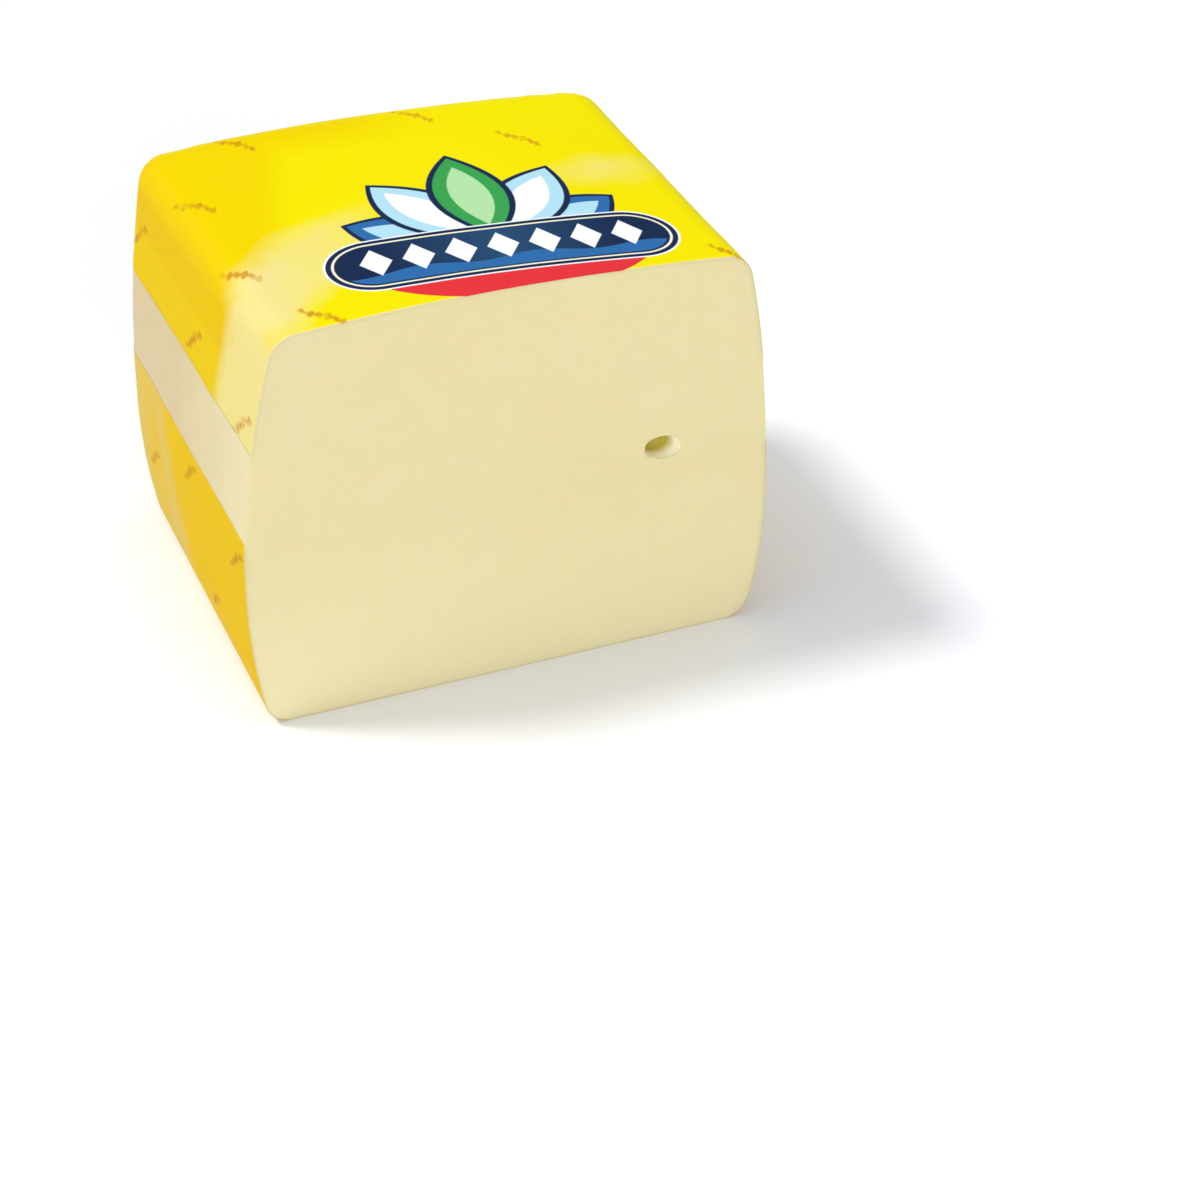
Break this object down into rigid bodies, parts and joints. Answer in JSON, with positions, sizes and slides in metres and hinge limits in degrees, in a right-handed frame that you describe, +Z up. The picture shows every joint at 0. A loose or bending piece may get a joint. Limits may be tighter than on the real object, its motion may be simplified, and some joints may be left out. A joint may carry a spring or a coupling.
{
  "type": "cheese block in printed film",
  "caption": "Block cut from a loaf of semi-hard cheese, flat where it was cut and rounded at its far end, in printed yellow film with a bare band round its sides.",
  "frame": {"origin": "middle of the block's footprint, on the surface it stands on", "axes": "+Z up, +X across the loaf's width, -Y out of the cut face, +Y towards the rounded end"},
  "size_m": [0.112, 0.094, 0.089],
  "materials": {
    "cheese": "smooth, slightly moist cut cheese, pale ivory yellow, a soft sheen",
    "yellow_film": "thin glossy plastic film, printed lemon yellow with a coloured label on top and small orange marks"
  },
  "bodies": {
    "root": {"cheese": "cheese", "film_top": "yellow_film", "film_bottom": "yellow_film"}
  },
  "joints": []
}
